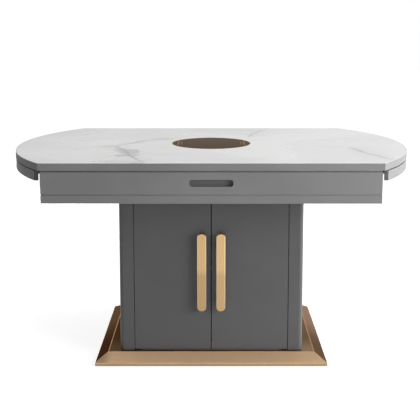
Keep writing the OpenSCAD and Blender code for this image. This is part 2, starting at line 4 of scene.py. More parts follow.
import bpy
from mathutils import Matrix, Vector


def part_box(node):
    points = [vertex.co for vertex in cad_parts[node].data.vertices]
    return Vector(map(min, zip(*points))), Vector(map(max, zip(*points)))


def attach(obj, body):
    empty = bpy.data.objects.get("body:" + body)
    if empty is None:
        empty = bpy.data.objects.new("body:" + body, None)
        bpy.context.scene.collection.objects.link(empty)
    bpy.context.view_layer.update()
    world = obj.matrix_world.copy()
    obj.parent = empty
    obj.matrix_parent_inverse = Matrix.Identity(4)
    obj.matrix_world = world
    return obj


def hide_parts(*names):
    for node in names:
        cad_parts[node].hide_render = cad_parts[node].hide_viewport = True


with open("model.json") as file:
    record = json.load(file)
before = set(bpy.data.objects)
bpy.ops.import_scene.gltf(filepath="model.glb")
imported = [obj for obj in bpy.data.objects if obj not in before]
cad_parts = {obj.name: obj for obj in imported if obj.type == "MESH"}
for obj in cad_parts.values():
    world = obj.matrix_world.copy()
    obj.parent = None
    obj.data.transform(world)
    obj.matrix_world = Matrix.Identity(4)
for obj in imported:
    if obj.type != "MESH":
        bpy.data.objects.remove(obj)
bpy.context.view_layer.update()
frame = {"nodes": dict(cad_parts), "record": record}
nodes = frame["nodes"]
MM = 0.001

# The body that each CAD node rides on, in the record
BODY_OF = {
    node: body
    for body, members in frame["record"]["behaviour"]["bodies"].items()
    for node in members
}


# Shader trees

FLOAT, VECTOR = "NodeSocketFloat", "NodeSocketVector"

# The middle of a noise's range, where nearly all its values lie
NOISE_LOW, NOISE_HIGH = 0.3, 0.7


def wire(tree, kind, inputs=(), **settings):
    """Adds one shader node, with its settings, and links or sets its inputs."""
    made = tree.nodes.new(kind)
    for key, value in settings.items():
        setattr(made, key, value)
    for key, value in dict(inputs).items():
        if isinstance(value, bpy.types.NodeSocket):
            tree.links.new(value, made.inputs[key])
        else:
            made.inputs[key].default_value = value
    return made


def figure(tree, operation, *values):
    """One Math node: the result of an operation on numbers or sockets."""
    return wire(tree, "ShaderNodeMath", dict(enumerate(values)), operation=operation).outputs[0]


def span(tree, value, low, high, out_low=0.0, out_high=1.0):
    """Maps a value from one range to another, smoothly and clamped."""
    inputs = {"Value": value, "From Min": low, "From Max": high, "To Min": out_low, "To Max": out_high}
    return wire(tree, "ShaderNodeMapRange", inputs, interpolation_type="SMOOTHSTEP").outputs["Result"]


def noise_span(tree, value, out_low=0.0, out_high=1.0):
    """Maps the middle of a noise's range to another range."""
    return span(tree, value, NOISE_LOW, NOISE_HIGH, out_low, out_high)


def noise(tree, place, scale, detail, roughness=0.5):
    """The outputs of a noise texture: a value first, and "Color", which serves as a vector."""
    inputs = {"Vector": place, "Scale": scale, "Detail": detail, "Roughness": roughness}
    return wire(tree, "ShaderNodeTexNoise", inputs).outputs


def blend_colours(tree, share, first, second):
    """Mixes two colours, or a colour and a socket, by a share."""
    return wire(tree, "ShaderNodeMix", {0: share, 6: first, 7: second}, data_type="RGBA").outputs[2]


def new_group(name, inputs, outputs):
    """An empty shader node group with named sockets, its given values and its output node."""
    tree = bpy.data.node_groups.new(name, "ShaderNodeTree")
    for label, kind, value in inputs:
        made = tree.interface.new_socket(label, in_out="INPUT", socket_type=kind)
        if value is not None:
            made.default_value = value
    for label, kind in outputs:
        tree.interface.new_socket(label, in_out="OUTPUT", socket_type=kind)
    return tree, tree.nodes.new("NodeGroupInput").outputs, tree.nodes.new("NodeGroupOutput")


def use_group(tree, group, inputs):
    """Places a node group in a tree and gives it this material's values."""
    return wire(tree, "ShaderNodeGroup", inputs, node_tree=group).outputs


LINES_SHARE = 0.7        # of the brush lines in a metal's tone, beside its slow clouds


def make_brush_lines():
    """Fine lines of brushed metal, along the axis whose stretch is 1."""
    tree, given, out = new_group(
        "brush_lines",
        [("Place", VECTOR, None), ("Stretch", VECTOR, (1.0, 40.0, 40.0)), ("Scale", FLOAT, 60.0)],
        [("Tone", FLOAT), ("Height", FLOAT)],
    )
    stretched = wire(tree, "ShaderNodeVectorMath", {0: given["Place"], 1: given["Stretch"]},
                     operation="MULTIPLY").outputs[0]
    lines = noise(tree, stretched, scale=given["Scale"], detail=4.0, roughness=0.65)[0]
    clouds = noise(tree, given["Place"], scale=5.0, detail=2.0)[0]
    tone = figure(tree, "ADD", figure(tree, "MULTIPLY", lines, LINES_SHARE),
                  figure(tree, "MULTIPLY", clouds, 1.0 - LINES_SHARE))
    tree.links.new(tone, out.inputs["Tone"])
    tree.links.new(lines, out.inputs["Height"])
    return tree


def make_sprayed_skin():
    """The faint orange peel and gloss change of sprayed lacquer."""
    tree, given, out = new_group(
        "sprayed_skin",
        [("Place", VECTOR, None)],
        [("Tone", FLOAT), ("Height", FLOAT)],
    )
    haze = noise(tree, given["Place"], scale=3.2, detail=3.0)[0]
    peel = noise(tree, given["Place"], scale=420.0, detail=2.0)[0]
    tree.links.new(haze, out.inputs["Tone"])
    tree.links.new(peel, out.inputs["Height"])
    return tree


# Shares of a vein's length: its start tip ends at the first, and its end tip starts at the second
TIP_END, TIP_START = 0.3, 0.6
HALO_REACH = 6.0         # of a vein's soft halo, in widths of the vein


def make_vein():
    """One soft vein of the stone, from a start to an end in plan, with a wandering line."""
    tree, given, out = new_group(
        "stone_vein",
        [("Place", VECTOR, None), ("Start", VECTOR, None), ("End", VECTOR, None),
         ("Width", FLOAT, 0.004), ("Wander", FLOAT, 0.03), ("Halo", FLOAT, 0.2),
         ("Core", FLOAT, 0.2), ("Start Level", FLOAT, 1.0), ("End Level", FLOAT, 1.0)],
        [("Mask", FLOAT)],
    )

    def vector(operation, *values, result=0):
        made = wire(tree, "ShaderNodeVectorMath", dict(enumerate(values)), operation=operation)
        return made.outputs[result]

    def scaled(value, scale):
        made = wire(tree, "ShaderNodeVectorMath", {0: value, "Scale": scale}, operation="SCALE")
        return made.outputs[0]

    bend = noise(tree, given["Place"], scale=6.0, detail=5.0, roughness=0.6)["Color"]
    shift = scaled(vector("SUBTRACT", bend, (0.5, 0.5, 0.5)), given["Wander"])
    place = vector("MULTIPLY", vector("ADD", given["Place"], shift), (1.0, 1.0, 0.0))
    along = vector("SUBTRACT", given["End"], given["Start"])
    offset = vector("SUBTRACT", place, given["Start"])
    share = figure(tree, "DIVIDE", vector("DOT_PRODUCT", offset, along, result=1),
                   vector("DOT_PRODUCT", along, along, result=1))
    share = wire(tree, "ShaderNodeClamp", {"Value": share}).outputs[0]
    away = vector("LENGTH", vector("SUBTRACT", offset, scaled(along, share)), result=1)
    ends = figure(tree, "MULTIPLY", span(tree, share, 0.0, TIP_END, given["Start Level"], 1.0),
                  span(tree, share, TIP_START, 1.0, 1.0, given["End Level"]))
    broken = noise(tree, given["Place"], scale=17.0, detail=3.0)[0]
    width = figure(tree, "MULTIPLY", given["Width"], noise_span(tree, broken, 0.5, 1.5))
    widths_away = figure(tree, "DIVIDE", away, width)
    line = span(tree, widths_away, given["Core"], 1.0, 1.0, 0.0)
    halo = figure(tree, "MULTIPLY", span(tree, widths_away, 0.0, HALO_REACH, 1.0, 0.0), given["Halo"])
    mask = figure(tree, "MULTIPLY", figure(tree, "MAXIMUM", line, halo), ends)
    tree.links.new(mask, out.inputs["Mask"])
    return tree


BRUSH_LINES = make_brush_lines()
SPRAYED_SKIN = make_sprayed_skin()
STONE_VEIN = make_vein()


# Materials

BUMP_DEPTH = 0.0004      # metres
LACQUER_BUMP, METAL_BUMP, BOARD_BUMP, GRAIN_BUMP = 0.05, 0.06, 0.06, 0.08


def begin_material(name):
    """A new material: its tree, its Principled shader and the object coordinates."""
    material = bpy.data.materials.new(name)
    material.use_nodes = True
    tree = material.node_tree
    shader = tree.nodes["Principled BSDF"]
    place = wire(tree, "ShaderNodeTexCoord").outputs["Object"]
    return material, tree, shader, place


def set_bump(tree, shader, height, strength, depth=BUMP_DEPTH):
    """Feeds a height through a Bump node into the shader's Normal."""
    bump = wire(tree, "ShaderNodeBump", {"Height": height, "Strength": strength, "Distance": depth})
    tree.links.new(bump.outputs[0], shader.inputs["Normal"])


# The stone's main veins in plan, in metres: points, width, wander, halo, darkness, full core
VEINS = [
    ([(-0.145, 0.140), (-0.255, 0.058), (-0.352, -0.088), (-0.430, -0.078)], 0.0090, 0.04, 0.22, 0.80, 0.2),
    ([(-0.352, -0.092), (-0.303, -0.184), (-0.277, -0.300), (-0.205, -0.440)], 0.0105, 0.03, 0.22, 0.88, 0.2),
    ([(-0.298, -0.180), (-0.284, -0.280)], 0.0380, 0.02, 0.10, 0.60, 0.8),
    ([(-0.345, -0.400), (-0.240, -0.425)], 0.0280, 0.03, 0.10, 0.35, 0.5),
    ([(0.250, 0.444), (0.201, 0.351), (0.162, 0.228), (0.149, 0.154)], 0.0080, 0.04, 0.22, 0.66, 0.2),
    ([(0.180, 0.262), (0.060, 0.300)], 0.0070, 0.03, 0.12, 0.45, 0.2),
    ([(0.490, -0.100), (0.534, -0.245), (0.600, -0.395)], 0.0120, 0.04, 0.25, 0.54, 0.3),
    ([(0.270, -0.010), (0.330, -0.050), (0.490, -0.100)], 0.0050, 0.04, 0.12, 0.32, 0.2),
    ([(-0.560, 0.180), (-0.420, 0.330)], 0.0055, 0.05, 0.15, 0.35, 0.2),
    ([(0.400, 0.210), (0.560, 0.110)], 0.0045, 0.05, 0.12, 0.32, 0.2),
]

# The veins of the leaves' stone, in the same form
LEAF_VEINS = [
    ([(-0.640, 0.240), (-0.470, 0.120), (-0.380, -0.260)], 0.0080, 0.05, 0.20, 0.55, 0.2),
    ([(-0.600, -0.280), (-0.430, -0.390)], 0.0080, 0.04, 0.20, 0.50, 0.2),
    ([(0.430, 0.380), (0.560, 0.060), (0.650, -0.080)], 0.0090, 0.05, 0.20, 0.58, 0.2),
    ([(0.380, -0.130), (0.520, -0.330)], 0.0070, 0.05, 0.18, 0.45, 0.2),
]

PATCH_CORE = 0.4         # from this full core on, a row is a patch and not a thin vein
TIP_LEVELS = (0.25, 0.1)
CLOUD_START, CLOUD_END = 0.35, 0.75       # of the noise that turns the stone from white to grey


def vein_mask(tree, place, points, width, wander, halo, core):
    """The mask of one vein through its points. A thin vein fades at its two tips, a patch doesn't."""
    mask = 0.0
    first_level, last_level = TIP_LEVELS if core < PATCH_CORE else (1.0, 1.0)
    for start, end in zip(points, points[1:]):
        vein = use_group(tree, STONE_VEIN, {
            "Place": place, "Start": (*start, 0.0), "End": (*end, 0.0),
            "Width": width, "Wander": wander, "Halo": halo, "Core": core,
            "Start Level": first_level if start == points[0] else 1.0,
            "End Level": last_level if end == points[-1] else 1.0,
        })
        mask = figure(tree, "MAXIMUM", mask, vein["Mask"])
    return mask


def stone_material(name, veins):
    """Pale satin stone with soft clouds and a few grey veins."""
    material, tree, shader, place = begin_material(name)
    white = (0.79, 0.787, 0.783, 1.0)
    cloud_grey = (0.73, 0.73, 0.732, 1.0)
    vein_grey = (0.30, 0.295, 0.30, 1.0)
    bent = noise(tree, place, scale=1.4, detail=1.0)["Color"]
    spread = wire(tree, "ShaderNodeVectorMath", {0: place, 1: bent}, operation="ADD").outputs[0]
    clouds = noise(tree, spread, scale=1.9, detail=4.0)[0]
    colour = blend_colours(tree, span(tree, clouds, CLOUD_START, CLOUD_END), white, cloud_grey)
    for points, width, wander, halo, darkness, core in veins:
        mask = vein_mask(tree, place, points, width, wander, halo, core)
        colour = blend_colours(tree, figure(tree, "MULTIPLY", mask, darkness), colour, vein_grey)
    tree.links.new(colour, shader.inputs["Base Color"])
    tree.links.new(noise_span(tree, clouds, 0.24, 0.34), shader.inputs["Roughness"])
    shader.inputs["Specular IOR Level"].default_value = 0.4
    return material


def set_tones(tree, shader, tone, dark, light, rough_start, rough_end):
    """Lets one noise choose between two tones, and change the roughness with them."""
    colour = blend_colours(tree, noise_span(tree, tone), (*dark, 1.0), (*light, 1.0))
    tree.links.new(noise_span(tree, tone, rough_start, rough_end), shader.inputs["Roughness"])
    tree.links.new(colour, shader.inputs["Base Color"])
    return colour


def lacquer_material(name, dark, light, rough_low, rough_high, gloss=0.3):
    """Sprayed lacquer between two tones, with a fine skin."""
    material, tree, shader, place = begin_material(name)
    skin = use_group(tree, SPRAYED_SKIN, {"Place": place})
    set_tones(tree, shader, skin["Tone"], dark, light, rough_low, rough_high)
    shader.inputs["Specular IOR Level"].default_value = gloss
    set_bump(tree, shader, skin["Height"], LACQUER_BUMP)
    return material


# Tints of what metal mirrors at a low angle
WHITE = (1.0, 1.0, 1.0)
GOLD_RIM = (1.0, 0.8, 0.62)
# A dimmed rim for the plinth's shaded copies of its gold: painted shade in what they mirror
SHADED_GOLD_RIM = (0.35, 0.29, 0.235)

# Stretches of the brush lines
ALONG_X, ALONG_Y, ALONG_Z = (1.0, 40.0, 40.0), (40.0, 1.0, 40.0), (40.0, 40.0, 1.0)


def metal_material(name, dark, light, rough_low, rough_high, stretch, rim=WHITE, painted_light=()):
    """Brushed metal between two tones. The stretch sets the direction of its lines.

    The rim tints what is mirrored at a low angle. Each row of painted light is an axis, a start, an end
    and a gain: the tone changes by that gain between the two places, painted light or shade for how the light
    falls.
    """
    material, tree, shader, place = begin_material(name)
    lines = use_group(tree, BRUSH_LINES, {"Place": place, "Stretch": stretch, "Scale": 60.0})
    colour = set_tones(tree, shader, lines["Tone"], dark, light, rough_high, rough_low)
    # Each row paints light or shade into the colour, as a gain along one axis
    for axis, start, end, gain in painted_light:
        along = wire(tree, "ShaderNodeSeparateXYZ", {0: place}).outputs[axis]
        painted_gain = span(tree, along, start, end, 1.0, gain)
        colour = wire(tree, "ShaderNodeVectorMath", {0: colour, 1: painted_gain}, operation="MULTIPLY").outputs[0]
        tree.links.new(colour, shader.inputs["Base Color"])
    shader.inputs["Metallic"].default_value = 1.0
    shader.inputs["Specular Tint"].default_value = (*rim, 1.0)
    set_bump(tree, shader, lines["Height"], METAL_BUMP)
    return material


def board_material():
    """Matt grey melamine board with a faint linen tooth."""
    material, tree, shader, place = begin_material("melamine_board")
    across = use_group(tree, BRUSH_LINES, {"Place": place, "Stretch": (1.0, 20.0, 20.0), "Scale": 30.0})
    upright = use_group(tree, BRUSH_LINES, {"Place": place, "Stretch": (20.0, 20.0, 1.0), "Scale": 30.0})
    tone = span(tree, figure(tree, "ADD", across["Tone"], upright["Tone"]), 0.7, 1.3)
    colour = blend_colours(tree, tone, (0.20, 0.19, 0.18, 1.0), (0.26, 0.25, 0.235, 1.0))
    tree.links.new(colour, shader.inputs["Base Color"])
    tree.links.new(noise_span(tree, across["Tone"], 0.5, 0.62), shader.inputs["Roughness"])
    set_bump(tree, shader, across["Height"], BOARD_BUMP, depth=0.0003)
    return material


# The hob's printed marks, the same at both sides, in metres. Each row of marks runs along Y: its
# distance from the middle, half its width, its pitch, half a mark as a share of the pitch, and
# half the length of the row. Bars come first, then dots.
HOB_MARKS = [
    (0.122, 0.0035, 0.020, 0.16, 0.050),
    (0.110, 0.0016, 0.010, 0.17, 0.035),
]
PRINT_BLUR = 0.0005      # of a mark's outline, in metres
PITCH_BLUR = 0.03        # of a mark's two ends, as a share of the pitch
SMEAR_START, SMEAR_END = 0.35, 0.7        # of the noise that dulls the glass


def hob_glass_material():
    """Brown-black mirror-like glass with plain printed marks: bars and dots at each side."""
    material, tree, shader, place = begin_material("hob_glass_printed")
    glass = (0.080, 0.052, 0.036, 1.0)
    print_gold = (0.85, 0.66, 0.36, 1.0)
    parts = wire(tree, "ShaderNodeSeparateXYZ", {0: place}).outputs
    side_x = figure(tree, "ABSOLUTE", parts["X"])

    def band(value, centre, half, blur=PRINT_BLUR):
        away = figure(tree, "ABSOLUTE", figure(tree, "SUBTRACT", value, centre))
        return span(tree, away, half, half + blur, 1.0, 0.0)

    marks = 0.0
    for side_distance, half_width, pitch, half_mark, half_row in HOB_MARKS:
        pitches = figure(tree, "ADD", figure(tree, "DIVIDE", parts["Y"], pitch), 0.5)
        repeated = band(figure(tree, "FRACT", pitches), 0.5, half_mark, PITCH_BLUR)
        row = figure(tree, "MULTIPLY", band(side_x, side_distance, half_width), repeated)
        row = figure(tree, "MULTIPLY", row, band(parts["Y"], 0.0, half_row))
        marks = figure(tree, "MAXIMUM", marks, row)
    tree.links.new(blend_colours(tree, marks, glass, print_gold), shader.inputs["Base Color"])
    smear = noise(tree, place, scale=14.0, detail=4.0)[0]
    tree.links.new(span(tree, smear, SMEAR_START, SMEAR_END, 0.035, 0.07), shader.inputs["Roughness"])
    shader.inputs["Metallic"].default_value = 0.6
    shader.inputs["IOR"].default_value = 1.02
    shader.inputs["Specular Tint"].default_value = (0.23, 0.175, 0.12, 1.0)
    return material


def plain_material(name, dark, light, rough_low, rough_high, scale):
    """Moulded plastic, powder coat and other small hidden finishes, with a fine grain."""
    material, tree, shader, place = begin_material(name)
    grain = noise(tree, place, scale=scale, detail=5.0, roughness=0.6)[0]
    set_tones(tree, shader, grain, dark, light, rough_low, rough_high)
    set_bump(tree, shader, grain, GRAIN_BUMP)
    return material


# Painted light and shade on the gold pieces: gains of tone along an axis for how the light falls
# Painted highlight: the handles lighter in their upper part, and the right handle lighter
HANDLE_PAINTED_LIGHT = [("Z", 0.314, 0.346, 1.26), ("X", -0.03, 0.03, 1.10)]
# Painted reflection: the plinth front darker at its left corner
FRONT_PAINTED_SHADE = [("X", -0.345, -0.385, 0.6)]
# Painted light: the plinth ends lighter toward the back, and much lighter at the right end
END_PAINTED_LIGHT = [("Y", -0.16, 0.14, 2.2), ("X", -0.30, 0.30, 3.0)]
# Painted light and shade: the deck darker toward the back and lighter toward the right
DECK_PAINTED_LIGHT = [("Y", -0.24, -0.10, 0.6), ("X", -0.34, 0.34, 2.4)]

FINISH = {
    "stone": stone_material("pale_stone", VEINS),
    "leaf_stone": stone_material("pale_stone_leaf", LEAF_VEINS),
    "edge": lacquer_material(
        "edge_lacquer", (0.24, 0.24, 0.243), (0.28, 0.28, 0.283), 0.56, 0.64, gloss=0.06),
    # Near-black lacquer on the eased edges where the top meets the leaf strips: a painted shadow line in the
    # gap
    "gap_shade": lacquer_material(
        "gap_shadow_black", (0.018, 0.018, 0.019), (0.026, 0.026, 0.027), 0.70, 0.80, gloss=0.04),
    "apron": lacquer_material(
        "apron_lacquer", (0.21, 0.21, 0.213), (0.24, 0.24, 0.243), 0.38, 0.46),
    "cabinet": lacquer_material(
        "cabinet_lacquer", (0.100, 0.100, 0.1015), (0.114, 0.114, 0.1155), 0.36, 0.44),
    # A darker grey for the finger slot's inner faces: painted shade in the recess
    "slot": lacquer_material(
        "slot_shade_lacquer", (0.125, 0.125, 0.127), (0.14, 0.14, 0.142), 0.42, 0.5),
    "gold_trim": metal_material(
        "gold_polished", (0.66, 0.49, 0.29), (0.80, 0.61, 0.37), 0.16, 0.24, ALONG_X, GOLD_RIM),
    # gold_front, gold_lip, gold_end and gold_deck are lit and shaded copies of the plinth's one gold: the
    # front painted bright, its lip, ends and deck painted darker as shade
    "gold_front": metal_material(
        "gold_brushed_front", (0.85, 0.60, 0.372), (0.975, 0.70, 0.447), 0.50, 0.60,
        ALONG_X, GOLD_RIM, FRONT_PAINTED_SHADE),
    "gold_lip": metal_material(
        "gold_brushed_lip", (0.33, 0.225, 0.125), (0.40, 0.275, 0.155), 0.40, 0.50, ALONG_X, GOLD_RIM),
    "gold_end": metal_material(
        "gold_brushed_end", (0.063, 0.044, 0.035), (0.091, 0.063, 0.049), 0.36, 0.48,
        ALONG_Y, SHADED_GOLD_RIM, END_PAINTED_LIGHT),
    "gold_deck": metal_material(
        "gold_brushed_deck", (0.15, 0.105, 0.076), (0.19, 0.135, 0.098), 0.34, 0.46,
        ALONG_X, SHADED_GOLD_RIM, DECK_PAINTED_LIGHT),
    "gold_bar": metal_material(
        "gold_brushed_bar", (0.355, 0.236, 0.118), (0.413, 0.278, 0.144), 0.30, 0.38,
        ALONG_Z, GOLD_RIM, HANDLE_PAINTED_LIGHT),
    # A lighter copy of the handles' gold for their side and bevel faces: painted reflection
    "gold_bevel": metal_material(
        "gold_brushed_bevel", (0.50, 0.39, 0.25), (0.58, 0.46, 0.305), 0.34, 0.42,
        ALONG_Z, GOLD_RIM, HANDLE_PAINTED_LIGHT),
    "steel": metal_material("zinc_steel", (0.42, 0.43, 0.45), (0.60, 0.61, 0.63), 0.24, 0.38, ALONG_X),
    "dark_steel": metal_material(
        "blackened_steel", (0.05, 0.05, 0.055), (0.10, 0.10, 0.105), 0.4, 0.5, ALONG_X),
    "board": board_material(),
    "glass": hob_glass_material(),
    "powder": plain_material(
        "powder_coat", (0.018, 0.018, 0.02), (0.03, 0.03, 0.032), 0.42, 0.55, 900.0),
    "plastic": plain_material(
        "black_moulding", (0.015, 0.015, 0.016), (0.03, 0.03, 0.031), 0.4, 0.5, 300.0),
    "copper": metal_material("wound_copper", (0.42, 0.16, 0.07), (0.62, 0.26, 0.12), 0.28, 0.4, ALONG_X),
    "circuit": plain_material(
        "circuit_green", (0.01, 0.09, 0.035), (0.02, 0.14, 0.06), 0.3, 0.42, 160.0),
    "rubber": plain_material(
        "foot_rubber", (0.02, 0.02, 0.02), (0.035, 0.035, 0.035), 0.6, 0.75, 400.0),
}

# The nodes that wear each finish
WEARS = {
    "stone": ["stone_top"],
    "leaf_stone": ["leaf_stone_left", "leaf_stone_right"],
    "edge": ["top_panel", "leaf_panel_left", "leaf_panel_right", "leaf_edge_left", "leaf_edge_right"],
    "apron": ["apron_back", "apron_rail", "apron_end_left", "apron_end_right", "drawer_front"],
    "cabinet": ["corner_posts", "side_panel_left", "side_panel_right", "back_panel",
                "door_left", "door_right"],
    "gold_trim": ["hob_trim_ring"],
    "gold_front": ["plinth_front", "plinth_back"],
    "gold_deck": ["plinth_deck"],
    "gold_end": ["plinth_end_left", "plinth_end_right"],
    "gold_bar": ["handle_left", "handle_right"],
    "steel": ["hob_case", "hob_clamps", "coil_tray", "shelf_pins", "drawer_slide_outers",
              "drawer_slide_middles", "drawer_slide_inners", "leaf_slide_outers", "leaf_slide_middles_left",
              "leaf_slide_middles_right", "leaf_slide_inners_left", "leaf_slide_inners_right"],
    "dark_steel": ["door_pivots"],
    "board": ["apron_floor", "partitions", "cabinet_top", "cabinet_bottom", "shelf", "plinth_core",
              "drawer_box", "drawer_bottom"],
    "glass": ["hob_glass"],
    "powder": ["frame_bars", "frame_ties"],
    "plastic": ["fan_rotor", "cord_gland", "door_catches"],
    "copper": ["induction_coil"],
    "circuit": ["hob_board"],
    "rubber": ["levelling_feet"],
}
FINISH_OF = {node: finish for finish, members in WEARS.items() for node in members}


# Pieces

NODE_SMOOTH, PIECE_SMOOTH = math.radians(30), math.radians(35)
EASE_ANGLE = math.radians(30)        # edges sharper than this are eased
FLAT_ANGLE = math.radians(0.5)       # faces flatter than this are joined
MERGE_DISTANCE = 0.00002


def paint(obj, *finishes):
    """Gives an object its materials, and keeps the faces' choice among them."""
    chosen = [face.material_index for face in obj.data.polygons]
    obj.data.materials.clear()
    for finish in finishes:
        obj.data.materials.append(FINISH[finish])
    if len(finishes) > 1:
        obj.data.polygons.foreach_set("material_index", chosen)


def select_only(obj):
    """Makes an object the only one selected and the active one."""
    bpy.ops.object.select_all(action="DESELECT")
    obj.select_set(True)
    bpy.context.view_layer.objects.active = obj


def finish_piece(obj, name, body, finish, edge_finish=None):
    """Names a modelled piece, applies its place, smooths it, paints it and makes it ride."""
    select_only(obj)
    bpy.ops.object.transform_apply(location=True, rotation=True, scale=True)
    obj.name = name
    obj.data.name = name
    bpy.ops.object.shade_smooth_by_angle(angle=PIECE_SMOOTH)
    paint(obj, *[one for one in (finish, edge_finish) if one])
    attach(obj, body)


def flatten_normals(obj):
    """Weights the normals by face area, so a wide flat face shades flat up to its eased edges."""
    select_only(obj)
    weigh = obj.modifiers.new("weigh", "WEIGHTED_NORMAL")
    weigh.keep_sharp = True
    weigh.weight = 100
    bpy.ops.object.modifier_apply(modifier="weigh")


def eased_copy(node, width, edge_finish=None):
    """A copy of a node's merged mesh with its hard edges eased, which stands for the node."""
    name = node + "_finished"
    obj = bpy.data.objects.new(name, nodes[node].data.copy())
    bpy.context.scene.collection.objects.link(obj)
    select_only(obj)
    bpy.ops.object.mode_set(mode="EDIT")
    bpy.ops.mesh.select_all(action="SELECT")
    bpy.ops.mesh.remove_doubles(threshold=MERGE_DISTANCE)
    bpy.ops.mesh.dissolve_limited(angle_limit=FLAT_ANGLE)
    bpy.ops.object.mode_set(mode="OBJECT")
    ease = obj.modifiers.new("ease", "BEVEL")
    ease.width = width
    ease.segments = 2
    ease.limit_method = "ANGLE"
    ease.angle_limit = EASE_ANGLE
    if edge_finish:
        obj.data.materials.append(FINISH[edge_finish])
        ease.material = 1
    bpy.ops.object.modifier_apply(modifier="ease")
    finish_piece(obj, name, BODY_OF[node], FINISH_OF[node], edge_finish)
    flatten_normals(obj)
    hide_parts(node)


for node_name, node_object in nodes.items():
    paint(node_object, FINISH_OF[node_name])
    select_only(node_object)
    bpy.ops.object.shade_smooth_by_angle(angle=NODE_SMOOTH)

# Widths of the eased edges in metres, and the nodes whose eased edges wear polished gold: a lower roughness,
# and a colour brighter than the shaded faces they edge, a painted highlight line
EASED = {
    "top_panel": 0.0006, "stone_top": 0.0005, "leaf_panel_left": 0.0010, "leaf_panel_right": 0.0010,
    "leaf_edge_left": 0.0014, "leaf_edge_right": 0.0014, "apron_back": 0.0005, "apron_rail": 0.0005,
    "apron_end_left": 0.0005, "apron_end_right": 0.0005, "drawer_front": 0.0005,
    "corner_posts": 0.0008, "side_panel_left": 0.0006, "side_panel_right": 0.0006,
    "back_panel": 0.0006, "door_left": 0.0009, "door_right": 0.0009,
    "handle_left": 0.0007, "handle_right": 0.0007, "plinth_deck": 0.0011,
    "plinth_front": 0.0009, "plinth_back": 0.0009, "plinth_end_left": 0.0009, "plinth_end_right": 0.0009,
}
POLISHED_HIGHLIGHT_EDGES = ("plinth_deck", "plinth_front", "plinth_back", "plinth_end_left", "plinth_end_right")
for node_name, ease_width in EASED.items():
    eased_copy(node_name, ease_width, "gold_trim" if node_name in POLISHED_HIGHLIGHT_EDGES else None)


def paint_faces(node, finish, chosen):
    """Gives one more finish to the faces of a node's eased copy that a test picks by centre and normal."""
    mesh = bpy.data.objects[node + "_finished"].data
    mesh.materials.append(FINISH[finish])
    for face in mesh.polygons:
        if chosen(face.center, face.normal):
            face.material_index = len(mesh.materials) - 1


def opening_box(name):
    """The low and high corners of one opening of the record."""
    return next(row["box_m"] for row in frame["record"]["physics"]["openings"] if row["name"] == name)


# How far the faces of the finger slot reach past its opening: behind the front, sideways, up and down
SLOT_SKIN, SLOT_SIDE, SLOT_RIM = 1.2 * MM, 12 * MM, 2 * MM
SHADOW_LINE_START = 10 * MM             # of the top's lower edge painted as a shadow line, past the drawer front's ends
SHADOW_LINE_DEPTH = 2 * MM              # of the leaf strips' upper edge painted as a shadow line
LIP_TOP = 12 * MM                # of the plinth's upright lip, above the floor

# An eased face leans: the share of its normal that points up or down lies between these
LEANS, LIES = 0.3, 0.95
UPWARD = 0.4                     # least upward share of the normals round the top's upper edge
UPRIGHT = 0.1                    # greatest upward share of an upright face's normal
FACING = 0.9                     # least share of a normal along the axis that its face looks to

slot_low, slot_high = opening_box("finger_slot")
front_low, front_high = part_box("drawer_front")
panel_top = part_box("top_panel")[1][2]
shadow_start_x = front_high[0] + SHADOW_LINE_START


def in_slot(centre, normal):
    """Faces between the drawer front's two sides, in and round the finger slot."""
    deep = front_low[1] + SLOT_SKIN < centre.y < front_high[1] - MM
    wide = slot_low[0] - SLOT_SIDE < centre.x < slot_high[0] + SLOT_SIDE
    return deep and wide and slot_low[2] - SLOT_RIM < centre.z < slot_high[2] + SLOT_RIM


# The finger slot's inner faces are painted darker: painted shade
paint_faces("drawer_front", "slot", in_slot)
paint_faces("top_panel", "stone", lambda centre, normal: normal.z > UPWARD and centre.z > panel_top - MM)
# Painted shadow line along the top's lower eased edge, past the drawer front
paint_faces("top_panel", "gap_shade",
            lambda centre, normal: -LIES < normal.z < -LEANS and abs(centre.x) > shadow_start_x)
for side in ("left", "right"):
    edge_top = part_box("leaf_edge_" + side)[1][2]
    # Painted shadow line along the leaf strips' upper eased edge
    paint_faces("leaf_edge_" + side, "gap_shade",
                lambda centre, normal: LEANS < normal.z < LIES and centre.z > edge_top - SHADOW_LINE_DEPTH)
    paint_faces("leaf_edge_" + side, "cabinet", lambda centre, normal: abs(normal.y) > FACING)
    # The handles' side and bevel faces get the lighter gold: painted reflection
    paint_faces("handle_" + side, "gold_bevel", lambda centre, normal: abs(normal.x) > LEANS)
# The plinth's upright lip wears a darker copy of its gold: painted shade
for side in ("front", "back", "end_left", "end_right"):
    paint_faces("plinth_" + side, "gold_lip",
                lambda centre, normal: abs(normal.z) < UPRIGHT and centre.z < LIP_TOP)


# Thin strips and small parts

def model_bar(low, high, ease):
    """A bar between two corners with its edges eased."""
    bpy.ops.object.select_all(action="DESELECT")
    middle = [(a + b) / 2 for a, b in zip(low, high)]
    bpy.ops.mesh.primitive_cube_add(size=1.0, location=middle)
    obj = bpy.context.active_object
    obj.scale = [b - a for a, b in zip(low, high)]
    bpy.ops.object.transform_apply(location=True, rotation=False, scale=True)
    bpy.ops.object.mode_set(mode="EDIT")
    bpy.ops.mesh.select_all(action="SELECT")
    bpy.ops.mesh.bevel(offset=ease, segments=2, affect="EDGES")
    bpy.ops.object.mode_set(mode="OBJECT")
    return obj


STRIP_EASE, REST_EASE = 0.3 * MM, 0.2 * MM
STRIP_SHORT = 2 * MM             # of the drawer front at each end
STRIP_FACE = 2.2 * MM            # of a strip's near face, behind the apron's outer face
STRIP_REAR = 9 * MM              # of a strip's far face, likewise
STRIP_HEIGHT = 1.3 * MM          # of the rest strip, and of the gap over the drawer front
BACK_GAP = 0.05 * MM             # under the strip at the back


